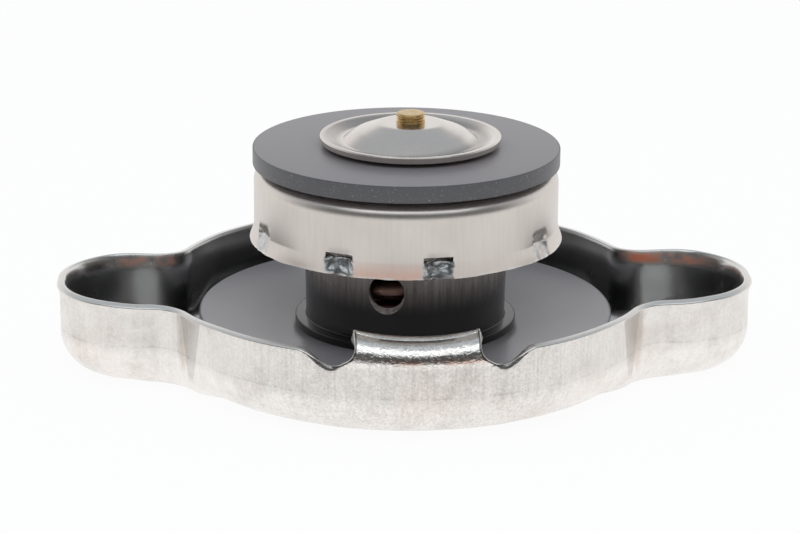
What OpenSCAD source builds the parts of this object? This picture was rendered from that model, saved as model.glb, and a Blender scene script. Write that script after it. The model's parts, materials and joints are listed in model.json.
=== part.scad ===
// Radiator cap of the small filler-neck pattern, standing on its crown with the valve side up.
// Millimetres. The crown's outer face is z = 0 and the two grip ears lie along X.

/* [Shell] */
// Outer radius of the round body
body_r = 22.85; // [22:0.05:24.5]
// Distance from the axis to an ear's tip
ear_reach = 32; // [30:0.1:36]
// Width across an ear
ear_w = 16.8; // [15:0.1:19]
// Plan radius of an ear's corners
ear_corner = 7.6; // [6:0.1:8]
// Plan radius between an ear and the body
neck_fillet = 3; // [2:0.1:4]
// Sheet thickness of the shell
sheet = 0.75; // [0.6:0.05:0.9]
// Height of the rim on the round body
rim_h = 7.95; // [7.6:0.05:8.4]
// How much lower the rim is where an ear meets the body
neck_dip = 0.18; // [0:0.02:0.4]
// Outer radius between crown and wall
crown_corner = 4.3; // [3.8:0.1:4.8]
// The same radius on the ears
ear_crown = 3.7; // [3.2:0.1:4.2]
// The same radius in the hollow beside an ear
neck_corner = 2; // [1.6:0.1:2.8]
// Radius of the recess pressed into the crown
recess_r = 10.9; // [10.7:0.1:12]
// Depth of that recess
recess_depth = 1.25; // [1.1:0.05:1.5]

/* [Cam tabs] */
// Width of a cam tab
tab_w = 11.4; // [9:0.1:12.4]
// Radius of the circle that the tabs' inner edges follow
tab_inner_r = 19.9; // [19.6:0.1:20.3]
// Height where the tabs' bend starts
tab_low = 7; // [6.9:0.05:7.3]
// Outer radius of the tab bend
tab_bend = 1.7; // [1.4:0.05:1.8]
// Angle that the tabs are bent through
tab_fold = 80; // [76:1:86]
// How far a tab's ends are bowed up
tab_bow = 0.4; // [0:0.05:0.5]
// Height where a notch runs out into a tab's straight side
tab_side = 8.3; // [8.1:0.05:8.5]
// Distance from the middle of a tab to a notch bottom
notch_mid = 7.5; // [7.2:0.1:8]
// Distance from the middle of a tab to the notch's outer shoulder
notch_out = 10.4; // [9.8:0.1:11.5]
// Height of a notch bottom
notch_z = 6.45; // [6:0.05:6.8]

/* [Gasket stack] */
// Thickness of the spring disc under the gasket
leaf_t = 0.4; // [0.3:0.05:0.6]
// Outer radius of the spring disc
leaf_r = 18.2; // [17:0.1:18.6]
// Thickness of the top gasket
gasket_t = 1.45; // [1.2:0.05:1.8]
// Outer radius of the top gasket
gasket_r = 19; // [18.7:0.1:19.2]
// How far the gasket's outer edge stands above its middle
gasket_rise = 1.35; // [1:0.05:1.6]
// Radius of the gasket retainer
retainer_r = 10.15; // [9.9:0.05:10.5]
// Thickness of the gasket retainer
retainer_t = 1.1; // [0.9:0.05:1.3]
// Radius of the rivet shank
rivet_r = 2; // [1.6:0.1:2.4]
// Radius of the rivet's outer head
rivet_head_r = 3.6; // [3.2:0.1:4.2]

/* [Spring housing] */
// Outer radius of the housing at its base
housing_r = 9.15; // [9:0.05:9.35]
// Sheet thickness of the housing
housing_t = 0.6; // [0.5:0.05:0.7]
// How much wider the housing is under its flange
housing_taper = 0.17; // [0:0.01:0.25]
// Diameter of a vent hole
vent_d = 3.2; // [2.4:0.1:3.6]
// Height of the vent holes
vent_z = 9.3; // [8.6:0.05:10]
// Angle of the first vent hole from the front
vent_angle = -13.6; // [-60:0.1:60]

/* [Pressure valve] */
// Radius of the raised seat that carries the seal
seat_r = 11.6; // [11:0.1:12]
// Distance from the seat's edge to the outside of the cup's wall
cup_margin = 2.3; // [2.2:0.05:2.4]
// Sheet thickness of the cup
cup_t = 0.55; // [0.5:0.05:0.65]
// Height of the cup's lower edge
cup_low = 11.95; // [11.6:0.05:12.3]
// How much wider the lower edge is
cup_flare = 0.15; // [0.1:0.05:0.3]
// Height of that widened band
cup_roll = 1.5; // [1.3:0.05:1.7]
// Height of the seat
seat_z = 18.95; // [18.6:0.05:19.4]
// Drop from the seat to the shoulder around it
seat_drop = 0.45; // [0.3:0.05:0.7]
// Radius of the shoulder between the cup's face and wall
cup_shoulder = 1.05; // [0.9:0.05:1.3]
// Angle that a crimped tongue takes up
tongue_angle = 13; // [10:0.5:16]
// Height of a crimped tongue
tongue_h = 1.6; // [1.3:0.05:1.9]
// How far a tongue's tip stands inside the cup's wall
tongue_reach = 0.95; // [0.8:0.05:1.1]
// Height of the slot left open above a tongue
slot_h = 0.5; // [0.3:0.05:0.8]
// Outer radius of the eyelet that clinches the seal
eyelet_r = 4; // [3.8:0.05:4.3]
// Wall of the eyelet
eyelet_t = 0.5; // [0.4:0.05:0.6]
// How far the eyelet's flange reaches over the seal
eyelet_flange = 0.6; // [0.4:0.05:0.7]
// How far the pressure seal stands past the cup's wall
seal_lap = 0.1; // [0:0.05:0.3]
// Thickness of the pressure seal
seal_t = 1.55; // [1.3:0.05:1.8]
// Wire diameter of the pressure spring
spring_wire = 1.7; // [1.3:0.05:1.8]
// Mean radius of the pressure spring
spring_r = 7.3; // [7:0.05:7.5]
// Turn of the spring's lower end from the first ear
spring_turn = 165.8; // [0:0.1:360]

/* [Vacuum valve] */
// Radius of the vacuum plate
plate_r = 8.3; // [8.1:0.05:8.6]
// Sheet thickness of the vacuum plate
plate_t = 0.55; // [0.45:0.05:0.6]
// Radius of the dome's foot
dome_r = 6.15; // [5.9:0.05:6.4]
// Radius of the dome's flat top
dome_flat = 3.5; // [3.2:0.05:3.7]
// Height of the dome above the seal
dome_h = 2.15; // [2.05:0.05:2.3]
// Radius of the stem
stem_r = 1.3; // [1.1:0.05:1.5]
// How far the stem stands out of the dome
stem_out = 0.9; // [0.7:0.05:1.2]
// How far the loose stem has settled off the axis
vac_shift = 0.36; // [0:0.02:0.38]
// Wire diameter of the vacuum spring
vac_wire = 0.45; // [0.35:0.05:0.5]
// Mean radius of the vacuum spring
vac_r = 2.3; // [2.2:0.05:2.5]
// Working length of the vacuum spring
vac_len = 4.75; // [4.4:0.05:5.2]
// Thickness of the clip under that spring
clip_t = 0.4; // [0.3:0.05:0.6]

/* [Clearances] */
// Gap between parts that rest on each other but move apart
rest_gap = 0.02; // [0.01:0.01:0.04]
// Radial running clearance of the stem in its loose guide
stem_play = 0.42; // [0.4:0.01:0.45]
// Radial gap between the housing's flange and the cup's wall
flange_play = 0.45; // [0.4:0.05:0.6]
// Gap under the housing's flange at the tongues' tips
tongue_gap = 0.05; // [0.03:0.01:0.1]
// Radial clearance of riveted and clinched pieces in their holes
hole_play = 0.05; // [0.03:0.01:0.1]

/* [Hidden] */
$fn = 96;
ear_half = ear_w / 2;
ear_cx = ear_reach - ear_corner;
ear_cy = ear_half - ear_corner;
neck_cy = ear_half + neck_fillet;
neck_cx = sqrt((body_r + neck_fillet) * (body_r + neck_fillet) - neck_cy * neck_cy);
neck_a = atan2(neck_cy, neck_cx);
tab_half = tab_w / 2;
wall_mid = (crown_corner + notch_z) / 2;
tab_end = (body_r - tab_inner_r - tab_bend * (1 - cos(tab_fold))) / sin(tab_fold);
neck_blend = 3;
neck_deep = [neck_cx + neck_fillet * cos(225), neck_cy + neck_fillet * sin(225)];
recess_slope = 40;
recess_foot = recess_r + recess_depth / tan(recess_slope);
recess_mitre = sheet * tan(recess_slope / 2);
crown_z = recess_depth + sheet;
leaf_z = crown_z + leaf_t;
gasket_z = leaf_z + gasket_t;
retainer_z = gasket_z + retainer_t;
floor_z = retainer_z + housing_t;
cone = gasket_rise / (gasket_r - retainer_r);
cup_r = seat_r + cup_margin;
cup_inner = cup_r - cup_t;
seal_r = cup_r + seal_lap;
flange_r = cup_inner - flange_play;
flange_z = cup_low + tongue_h + tongue_gap;
flange_top = flange_z + housing_t;
plate_under = seat_z - cup_t;
seal_top = seat_z + seal_t;
vac_plate_z = seal_top + rest_gap;
dome_top = vac_plate_z + dome_h;
stem_top = dome_top + stem_out;
guide_top = plate_under - 0.5;
guide_z = guide_top - eyelet_t;
shaft_r = stem_r - 0.05;
clip_top = guide_z - vac_len;
stem_low = clip_top - clip_t - 0.3;
rivet_hole = rivet_r + hole_play;
eyelet_hole = eyelet_r + hole_play;
seen_tongues = [-66, -28, 9, 57];
hidden_tongues = [for (i = [1 : 4]) 57 + (360 - 66 - 57) * i / 5];
tongues = concat(seen_tongues, hidden_tongues);

// Points of an arc as [x, y, outward x, outward y]; side is 1 for a convex arc and -1 for a hollow one
function arc(cx, cy, r, a0, a1, n, side) = [
    for (i = [0 : n])
        let (a = a0 + (a1 - a0) * i / n)
            [cx + r * cos(a), cy + r * sin(a), side * cos(a), side * sin(a)]
];

// Points of the body circle at given distances from the middle of the tab
function body_points(xs) = [for (x = xs) let (a = acos(x / body_r)) [x, body_r * sin(a), cos(a), sin(a)]];

// Spread of values from a to b without the first
function spread(a, b, n) = [for (i = [1 : n]) a + (b - a) * i / n];

// Half width of a tab at a height, where the notch's curve runs up its side
function half_at(z) =
    let (share = 1 - min((z - notch_z) / (tab_side - notch_z), 1))
    notch_mid - (notch_mid - tab_half) * sqrt(1 - share * share);

body_start = body_r * cos(neck_a);
foot_half = half_at(tab_low);
side_step = 0.15;
body_xs = concat(
    [for (a = spread(neck_a, acos(notch_out / body_r), 4)) body_r * cos(a)],
    spread(notch_out, notch_mid, 5),
    spread(notch_mid, foot_half + side_step, 3),
    spread(foot_half + side_step, foot_half, 1),
    spread(foot_half, 0, 4));
quarter = concat(
    [[ear_reach, 0, 1, 0]],
    arc(ear_cx, ear_cy, ear_corner, 0, 90, 6, 1),
    arc(neck_cx, neck_cy, neck_fillet, 270, 180 + neck_a, 5, -1),
    body_points(body_xs));
qn = len(quarter);
loop = concat(
    quarter,
    [for (i = [qn - 2 : -1 : 0]) let (p = quarter[i]) [-p[0], p[1], -p[2], p[3]]],
    [for (i = [1 : qn - 1]) let (p = quarter[i]) [-p[0], -p[1], -p[2], -p[3]]],
    [for (i = [qn - 2 : -1 : 1]) let (p = quarter[i]) [p[0], -p[1], p[2], -p[3]]]);
ln = len(loop);

function ease(t) = (1 - cos(180 * min(max(t, 0), 1))) / 2;

// 1 where an ear meets the body, fading to 0 on both sides
function dip_at(p) =
    let (x = abs(p[0]) - body_start)
    ease((x + 3.5) / 4) * (1 - ease((x - 2.5) / 5));

// Corner radius along the loop, tightest in the hollow between ear and body
function corner_at(p) =
    let (open = ease((norm([abs(p[0]), abs(p[1])] - neck_deep) - 0.6) / neck_blend))
    let (ear = ease((abs(p[0]) - body_start) / 3))
    neck_corner * (1 - open) + (crown_corner + (ear_crown - crown_corner) * ear) * open;

// Rim height along the loop, with the notches beside the tabs
function rim_at(p) =
    let (x = abs(p[0]))
    let (r = norm([p[0], p[1]]))
    r > body_r + 0.01 || x > notch_out
        ? rim_h - neck_dip * dip_at(p)
        : x > notch_mid
            ? notch_z + (rim_h - notch_z) * ease((x - notch_mid) / (notch_out - notch_mid))
            : let (share = (notch_mid - x) / (notch_mid - tab_half))
                notch_z + (tab_side - notch_z) * (1 - sqrt(1 - share * share));
function is_tab(p) = abs(p[0]) < foot_half + 0.001 && norm([p[0], p[1]]) < body_r + 0.01;

// Point at an inward distance s from the loop
function inset(p, s, z) = [p[0] - p[2] * s, p[1] - p[3] * s, z];
function on_circle(p, s, r, z) =
    let (q = [p[0] - p[2] * s, p[1] - p[3] * s])
    [q[0] * r / norm(q), q[1] * r / norm(q), z];

// Point of a tab whose outer face is at inset s and height z there, at depth d along a normal of slope a
function tab_point(p, s, z, a, d) =
    let (share = p[0] / foot_half)
    let (x = share * half_at(z) * (1 - d * cos(a) / body_r))
    let (r = body_r - s - d * cos(a))
    [x, sign(p[1]) * sqrt(r * r - x * x), z - d * sin(a) + tab_bow * share * share * sin(a)];

// Section of the bent tab at depth d below its outer face
function tab_section(p, d) =
    concat(
        [for (a = [0 : tab_fold / 3 : tab_fold + 0.01])
            tab_point(p, tab_bend * (1 - cos(a)), tab_low + tab_bend * sin(a), a, d)],
        [tab_point(p, body_r - tab_inner_r, tab_low + tab_bend * sin(tab_fold) + tab_end * cos(tab_fold),
            tab_fold, d)]);
function wall_section(p, d) = [for (k = [1 : 5]) inset(p, d, wall_mid + (rim_at(p) - wall_mid) * k / 5)];
function upper(p, d) = is_tab(p) ? tab_section(p, d) : wall_section(p, d);

// Skin of the shell at depth d below its outer face, from the rivet hole to the rim
function skin(p, d) =
    let (c = corner_at(p))
    concat(
        [on_circle(p, c, rivet_hole, recess_depth + d)],
        [on_circle(p, c, recess_r + (d > 0 ? recess_mitre : 0), recess_depth + d)],
        [on_circle(p, c, recess_foot + (d > 0 ? recess_mitre : 0), d)],
        [for (a = [0, 30, 60, 90]) inset(p, c - (c - d) * sin(a), c - (c - d) * cos(a))],
        [inset(p, d, wall_mid)],
        upper(p, d));
function turned(v) = [for (i = [len(v) - 1 : -1 : 0]) v[i]];
function ring(p) = concat(skin(p, 0), turned(skin(p, sheet)));
rn = len(ring(loop[0]));

// Drawn shell with two ears, two bent cam tabs and a recess for the rivet head
module cap_shell() {
    color("gainsboro")
    polyhedron(
        points = [for (p = loop) each ring(p)],
        faces = [for (i = [0 : ln - 1], j = [0 : rn - 1], half = [0, 1])
            let (a = i * rn + j)
            let (b = i * rn + (j + 1) % rn)
            let (c = ((i + 1) % ln) * rn + (j + 1) % rn)
            let (d = ((i + 1) % ln) * rn + j)
            half == 0 ? [a, b, c] : [a, c, d]],
        convexity = 8);
}

// Rivet that clamps the whole stack to the crown
module centre_rivet() {
    low = 0.12;
    roll = 1.2;
    color("silver")
    rotate_extrude()
    polygon([[0, low], [rivet_head_r - 0.5, low], [rivet_head_r, low + 0.4], [rivet_head_r, recess_depth],
        [rivet_r, recess_depth], [rivet_r, floor_z], [rivet_r + roll, floor_z],
        [rivet_r + roll, floor_z + 0.5],
        [rivet_r + roll - 0.4, floor_z + 0.8], [0, floor_z + 0.8]]);
}

// Coned spring disc that presses the gasket outwards
module leaf_spring() {
    color("slategray")
    rotate_extrude()
    polygon([[rivet_hole, crown_z], [retainer_r, crown_z],
        [leaf_r, crown_z + (leaf_r - retainer_r) * cone], [leaf_r, leaf_z + (leaf_r - retainer_r) * cone],
        [retainer_r, leaf_z], [rivet_hole, leaf_z]]);
}

// Rubber gasket that closes the top of the filler neck
module top_gasket() {
    edge = 0.15;
    color("dimgray")
    rotate_extrude()
    polygon([[rivet_hole, leaf_z], [retainer_r, leaf_z], [gasket_r - edge, leaf_z + gasket_rise],
        [gasket_r, leaf_z + gasket_rise + edge], [gasket_r, gasket_z + gasket_rise - edge],
        [gasket_r - edge, gasket_z + gasket_rise], [retainer_r, gasket_z], [rivet_hole, gasket_z]]);
}

// Washer that clamps the middle of the gasket
module gasket_retainer() {
    edge = 0.25;
    color("black")
    rotate_extrude()
    polygon([[rivet_hole, gasket_z], [retainer_r, gasket_z], [retainer_r, retainer_z - edge],
        [retainer_r - edge, retainer_z], [rivet_hole, retainer_z]]);
}

// Flanged can that holds the pressure spring
module spring_housing() {
    top_r = housing_r + housing_taper;
    edge = 0.12;
    foot = retainer_r - housing_r - edge;
    lip = 0.5;
    color("black")
    difference() {
        rotate_extrude()
        polygon([[rivet_hole, retainer_z], [housing_r + foot, retainer_z],
            [housing_r + foot, retainer_z + edge], [housing_r + foot * 0.35, retainer_z + foot * 0.35],
            [housing_r, retainer_z + foot],
            [top_r, flange_z - lip], [top_r + lip * 0.3, flange_z - lip * 0.3], [top_r + lip, flange_z],
            [flange_r, flange_z], [flange_r, flange_top], [top_r + lip, flange_top],
            [top_r - housing_t + lip * 0.6, flange_top - lip * 0.6], [top_r - housing_t, flange_z - lip],
            [housing_r - housing_t, floor_z], [rivet_hole, floor_z]]);
        for (a = [0, 120, 240])
            rotate([90, 0, vent_angle + a])
            translate([0, vent_z, housing_r / 2])
            cylinder(d = vent_d, h = housing_r);
    }
}

// Centre line height of a closed-ended coil after a number of turns
function coil_z(u, turns, low, high, close) =
    let (pitch = (high - low - 2 * close) / (turns - 2))
    u < 1 ? low + close * u : u > turns - 1 ? high - close * (turns - u) : low + close + pitch * (u - 1);

// Round wire wound from height z0 to z1
module coil(z0, z1, r, wire, turns, steps, sides) {
    n = round(turns * steps);
    close = wire + 0.05;
    points = [for (i = [0 : n])
        let (u = turns * i / n)
        let (z = coil_z(u, turns, z0 + wire / 2, z1 - wire / 2, close))
        for (k = [0 : sides - 1])
            let (a = 360 * k / sides)
            let (q = r + wire / 2 * cos(a))
            [q * cos(360 * u), q * sin(360 * u), z + wire / 2 * sin(a)]];
    sides_faces = [for (i = [0 : n - 1], k = [0 : sides - 1], half = [0, 1])
        let (a = i * sides + k)
        let (b = i * sides + (k + 1) % sides)
        let (c = (i + 1) * sides + (k + 1) % sides)
        let (d = (i + 1) * sides + k)
        half == 0 ? [a, c, b] : [a, d, c]];
    first = [[for (k = [0 : sides - 1]) k]];
    last = [[for (k = [sides - 1 : -1 : 0]) n * sides + k]];
    polyhedron(points = points, faces = concat(sides_faces, first, last), convexity = 10);
}

// Coil spring that holds the pressure valve shut
module pressure_spring() {
    color("sienna")
    rotate([0, 0, spring_turn])
    coil(floor_z + rest_gap, plate_under - rest_gap, spring_r, spring_wire, 4.5, 24, 8);
}

// Drawn cup with crimped tongues that catch under the housing's flange
module valve_cup() {
    wide = cup_r + cup_flare;
    wide_inner = wide - cup_t;
    step_z = seat_z - seat_drop;
    bend_z = step_z - cup_shoulder;
    roll_z = cup_low + cup_roll;
    tip_z = cup_low + tongue_h;
    tip_r = cup_inner - tongue_reach;
    fold = cup_t * 0.4;
    half_t = cup_t / 2;
    shoulder_x = cup_r - cup_shoulder;
    color("lightgray") {
        difference() {
            rotate_extrude()
            polygon(concat(
                [[eyelet_hole, plate_under], [seat_r - cup_t, plate_under], [seat_r, step_z - cup_t],
                    [shoulder_x, step_z - cup_t], [cup_inner - half_t, bend_z + cup_t], [cup_inner, bend_z],
                    [cup_inner, roll_z], [wide_inner, cup_low], [wide, cup_low], [cup_r, roll_z]],
                [for (a = [0 : 15 : 90])
                    [shoulder_x + cup_shoulder * cos(a), bend_z + cup_shoulder * sin(a)]],
                [[seat_r + cup_t * 0.8, step_z], [seat_r, seat_z], [eyelet_hole, seat_z]]));
            for (a = tongues)
                rotate([0, 0, a - 90 - tongue_angle / 2])
                rotate_extrude(angle = tongue_angle)
                translate([cup_inner - half_t, cup_low - cup_t])
                square([cup_flare + cup_t * 2, tongue_h + slot_h + cup_t]);
        }
        for (a = tongues)
            rotate([0, 0, a - 90 - tongue_angle / 2])
            rotate_extrude(angle = tongue_angle)
            polygon([[wide_inner, cup_low], [wide, cup_low], [wide, cup_low + fold],
                [tip_r + cup_t + fold, tip_z], [tip_r, tip_z], [wide_inner - half_t, cup_low + fold]]);
    }
}

// Rubber disc that seals on the neck's lower seat
module pressure_seal() {
    edge = 0.12;
    color("dimgray")
    rotate_extrude()
    polygon([[eyelet_hole, seat_z], [seal_r - edge, seat_z], [seal_r, seat_z + edge],
        [seal_r, seal_top - edge], [seal_r - edge, seal_top], [eyelet_hole, seal_top]]);
}

// Eyelet that clinches the seal to the cup and guides the stem
module seal_retainer() {
    bore = shaft_r + stem_play;
    clinch_r = eyelet_r + 0.55;
    flange = eyelet_r + eyelet_flange;
    inner = eyelet_r - eyelet_t;
    top = seal_top + 0.4;
    vent = 0.7;
    color("silver")
    difference() {
        rotate_extrude()
        polygon([[bore, guide_z], [eyelet_r, guide_z], [clinch_r, guide_top - 0.1], [clinch_r, plate_under],
            [eyelet_r, plate_under], [eyelet_r, seal_top], [flange, seal_top], [flange, top - 0.15],
            [flange - 0.2, top], [inner, top], [inner, guide_top], [bore, guide_top]]);
        for (a = [0 : 90 : 270])
            rotate([0, 0, a])
            translate([inner - vent / 2 - 0.2, 0, guide_z - 1])
            cylinder(d = vent, h = eyelet_t + 2);
    }
}

// Domed plate that opens towards the radiator when the system cools
module vacuum_plate() {
    z = vac_plate_z;
    t = plate_t;
    top = dome_top;
    color("silver")
    translate([vac_shift, 0, 0])
    rotate_extrude()
    polygon([[stem_r, top - t], [dome_flat - 0.7, top - t], [dome_flat, top - t - 0.1],
        [dome_flat + 0.6, top - t - 0.36], [dome_r - 0.25, z], [plate_r - 1.1, z],
        [plate_r - 0.2, z + 0.26], [plate_r, z + 0.36], [plate_r, z + t + 0.38],
        [plate_r - 0.1, z + t + 0.45], [plate_r - 0.6, z + t + 0.38], [plate_r - 1.4, z + t + 0.05],
        [dome_r, z + t],
        [dome_flat + 0.8, top - 0.31], [dome_flat + 0.1, top - 0.07], [dome_flat - 0.6, top], [stem_r, top]]);
}

// Brass stem that carries the plate and the clip
module vacuum_stem() {
    d = dome_top;
    s = stem_out / 1.1;
    color("darkgoldenrod")
    translate([vac_shift, 0, 0])
    rotate_extrude()
    polygon([[0, stem_low], [shaft_r - 0.15, stem_low], [shaft_r, stem_low + 0.15],
        [shaft_r, d - plate_t - 0.5], [stem_r + 0.6, d - plate_t - 0.4], [stem_r + 0.6, d - plate_t],
        [stem_r, d - plate_t], [stem_r, d + 0.3 * s], [stem_r - 0.12, d + 0.36 * s],
        [stem_r - 0.12, d + 0.46 * s], [stem_r, d + 0.52 * s], [stem_r, d + 0.66 * s],
        [stem_r - 0.1, d + 0.71 * s], [stem_r - 0.1, d + 0.77 * s], [stem_r + 0.02, d + 0.82 * s],
        [stem_r + 0.02, d + 0.98 * s], [stem_r - 0.1, stem_top], [0, stem_top]]);
}

// Light coil spring that pulls the vacuum plate shut
module vacuum_spring() {
    color("lightsteelblue")
    coil(clip_top + rest_gap, guide_z - rest_gap, vac_r, vac_wire, 6, 16, 6);
}

// Washer staked on the stem's end under the vacuum spring
module spring_clip() {
    color("silver")
    translate([vac_shift, 0, 0])
    rotate_extrude()
    polygon([[shaft_r, clip_top - clip_t], [vac_r + 0.6, clip_top - clip_t], [vac_r + 0.6, clip_top],
        [shaft_r, clip_top]]);
}

cap_shell();
centre_rivet();
leaf_spring();
top_gasket();
gasket_retainer();
spring_housing();
pressure_spring();
valve_cup();
pressure_seal();
seal_retainer();
vacuum_plate();
vacuum_stem();
vacuum_spring();
spring_clip();
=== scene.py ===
"""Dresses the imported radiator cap: fine sheet-metal, rubber and wire pieces with their finishes."""

import json
import math

import bmesh
import bpy
from bpy.props import FloatProperty, FloatVectorProperty, IntProperty, PointerProperty
from mathutils import Matrix, Quaternion, Vector, noise

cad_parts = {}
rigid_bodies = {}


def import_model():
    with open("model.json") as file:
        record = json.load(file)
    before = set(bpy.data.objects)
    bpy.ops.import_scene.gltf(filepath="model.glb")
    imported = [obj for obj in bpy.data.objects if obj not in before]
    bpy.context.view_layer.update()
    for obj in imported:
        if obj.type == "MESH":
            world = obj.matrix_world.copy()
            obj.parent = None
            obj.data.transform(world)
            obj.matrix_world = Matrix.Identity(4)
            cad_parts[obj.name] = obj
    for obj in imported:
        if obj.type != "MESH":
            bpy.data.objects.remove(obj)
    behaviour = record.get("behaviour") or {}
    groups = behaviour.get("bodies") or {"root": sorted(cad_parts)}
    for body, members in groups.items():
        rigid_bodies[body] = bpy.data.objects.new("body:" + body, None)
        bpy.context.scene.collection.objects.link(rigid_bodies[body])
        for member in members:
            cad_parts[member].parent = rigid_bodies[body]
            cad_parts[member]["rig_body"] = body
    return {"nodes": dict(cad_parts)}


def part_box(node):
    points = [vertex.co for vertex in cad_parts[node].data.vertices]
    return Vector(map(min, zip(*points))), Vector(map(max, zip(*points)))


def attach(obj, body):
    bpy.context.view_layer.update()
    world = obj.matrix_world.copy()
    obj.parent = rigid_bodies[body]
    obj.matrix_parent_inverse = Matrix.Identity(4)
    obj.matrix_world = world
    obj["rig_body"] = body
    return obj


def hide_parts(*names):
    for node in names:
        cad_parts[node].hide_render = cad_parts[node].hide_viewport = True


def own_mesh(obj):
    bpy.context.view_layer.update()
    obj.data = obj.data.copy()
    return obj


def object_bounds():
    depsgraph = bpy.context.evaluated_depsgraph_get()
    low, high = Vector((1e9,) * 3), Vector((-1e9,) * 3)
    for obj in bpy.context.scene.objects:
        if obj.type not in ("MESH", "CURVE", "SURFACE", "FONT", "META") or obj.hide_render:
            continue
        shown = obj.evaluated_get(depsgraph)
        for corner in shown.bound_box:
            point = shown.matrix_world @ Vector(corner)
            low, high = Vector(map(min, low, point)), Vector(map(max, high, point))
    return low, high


bl_info = {
    "name": "Radiator cap looks",
    "version": (1, 0, 0),
    "blender": (4, 5, 0),
    "location": "3D View > Sidebar > Radiator cap",
    "description": "Models the visible pieces of a radiator cap on its CAD frame and gives them finishes",
    "category": "Object",
}

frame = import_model()
cad_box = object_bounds()

MM = 0.001
TAU = 2 * math.pi
SENSOR = 36.0
RING_STEPS = 192
CUP_STEPS = 720
MERGE = 1e-6
SMOOTH_BELOW = math.radians(40)
RIVET_HOLE = 2.05 * MM
WHITE = (1, 1, 1, 1)
COOL_WHITE = (0.92, 1.0, 1.08, 1)

shell_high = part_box("cap_shell")[1]
gasket_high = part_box("top_gasket")[1]
retainer_low, retainer_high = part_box("gasket_retainer")
housing_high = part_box("spring_housing")[1]
cup_low, cup_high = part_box("valve_cup")
seal_low, seal_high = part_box("pressure_seal")
plate_low, plate_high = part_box("vacuum_plate")
stem_low, stem_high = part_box("vacuum_stem")
coil_low, coil_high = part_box("pressure_spring")
wire_low, wire_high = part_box("vacuum_spring")


def linear(code):
    """Linear colour with alpha from an sRGB hex code such as #a0b1c2."""
    shares = [int(code[i : i + 2], 16) / 255 for i in (1, 3, 5)]
    return [s / 12.92 if s <= 0.04045 else ((s + 0.055) / 1.055) ** 2.4 for s in shares] + [1.0]


def length(name, description, default):
    """A length property in metres."""
    return FloatProperty(name=name, description=description, default=default, unit="LENGTH", precision=5)


def slant(name, description, degrees):
    """An angle property, given in degrees."""
    return FloatProperty(name=name, description=description, default=math.radians(degrees), subtype="ANGLE")


def scalar(name, description, default, unit="NONE"):
    """A plain number property."""
    return FloatProperty(name=name, description=description, default=default, unit=unit)


def spot(name, description, *place):
    """A property for a place, given in millimetres."""
    metres = [c * MM for c in place]
    return FloatVectorProperty(
        name=name, description=description, default=metres, subtype="TRANSLATION", unit="LENGTH"
    )


def tint(name, description, code):
    """A colour property from an sRGB hex code."""
    return FloatVectorProperty(
        name=name, description=description, default=linear(code), size=4, subtype="COLOR", min=0, max=1
    )


class ShellSizes(bpy.types.PropertyGroup):
    """Sizes of the pressed shell."""

    ear_reach: length("Ear reach", "From the axis to an ear's tip", shell_high.x)
    body_radius: length("Body radius", "Outer radius of the round body", shell_high.y)
    ear_width: length("Ear width", "Width across an ear", 16.8 * MM)
    ear_corner: length("Ear corner", "Plan radius of an ear's corners", 7.6 * MM)
    neck_fillet: length("Neck fillet", "Plan radius between an ear and the body", 3 * MM)
    sheet: length("Sheet", "Thickness of the sheet", 0.75 * MM)
    rim_height: length("Rim height", "Height of the rim on the round body", 7.95 * MM)
    neck_dip: length("Neck dip", "How much lower the rim is where an ear meets the body", 0.18 * MM)
    crown_corner: length("Crown corner", "Outer radius between crown and wall", 4.3 * MM)
    ear_crown: length("Ear crown corner", "The same radius on the ears", 3.7 * MM)
    lip_flare: length("Lip flare", "How far the ears' rim leans out past their wall", 0.28 * MM)
    body_flare: length("Body lip flare", "How far the body's rim leans out", 0.1 * MM)
    lip_height: length("Lip height", "Height of that leaning rim", 1.3 * MM)
    neck_corner: length("Neck corner", "The same radius in the hollow beside an ear", 2.4 * MM)
    recess_radius: length("Recess radius", "Radius of the recess in the crown", 10.9 * MM)
    recess_depth: length("Recess depth", "Depth of the recess in the crown", 1.25 * MM)
    rivet_hole: length("Rivet hole", "Radius of the hole for the rivet", RIVET_HOLE)
    tab_width: length("Tab width", "Width of a cam tab", 10.9 * MM)
    tab_inner: length("Tab inner radius", "Radius that the tabs' inner edges follow", 19.9 * MM)
    tab_foot: length("Tab foot", "Height where the tab's bend starts", 7.0 * MM)
    tab_bend: length("Tab bend", "Outer radius of the tab's bend", 1.7 * MM)
    tab_fold: slant("Tab fold", "Angle that a tab is bent through", 80)
    tab_bow: length("Tab bow", "How far a tab's ends are bowed up", 0.4 * MM)
    tab_side: length("Tab side", "Height where a notch runs out into a tab's straight side", 8.3 * MM)
    notch_mid: length("Notch middle", "From the middle of a tab to a notch bottom", 7.5 * MM)
    notch_out: length("Notch shoulder", "From the middle of a tab to the notch's shoulder", 10.4 * MM)
    notch_height: length("Notch height", "Height of a notch bottom", 6.85 * MM)
    notch_curl: length("Notch curl", "How far a notch's edge is drawn inwards", 0.26 * MM)
    curl_height: length("Curl height", "Height of the drawn-in edge of a notch", 0.65 * MM)
    waviness: length("Waviness", "How far the pressed wall wanders inwards", 0.05 * MM)


class GasketSizes(bpy.types.PropertyGroup):
    """Sizes of the top gasket and its retainer."""

    radius: length("Gasket radius", "Outer radius of the gasket", gasket_high.x)
    thickness: length("Gasket thickness", "Thickness of the gasket", 1.45 * MM)
    retainer_radius: length("Retainer radius", "Outer radius of the retainer", retainer_high.x)
    edge: length("Edge radius", "Rounding of the gasket's edges", 0.22 * MM)
    retainer_height: length("Retainer height", "Height of the retainer over its bed", 0.75 * MM)
    retainer_edge: length("Retainer edge", "Rounding of the retainer's edge", 0.12 * MM)


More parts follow.
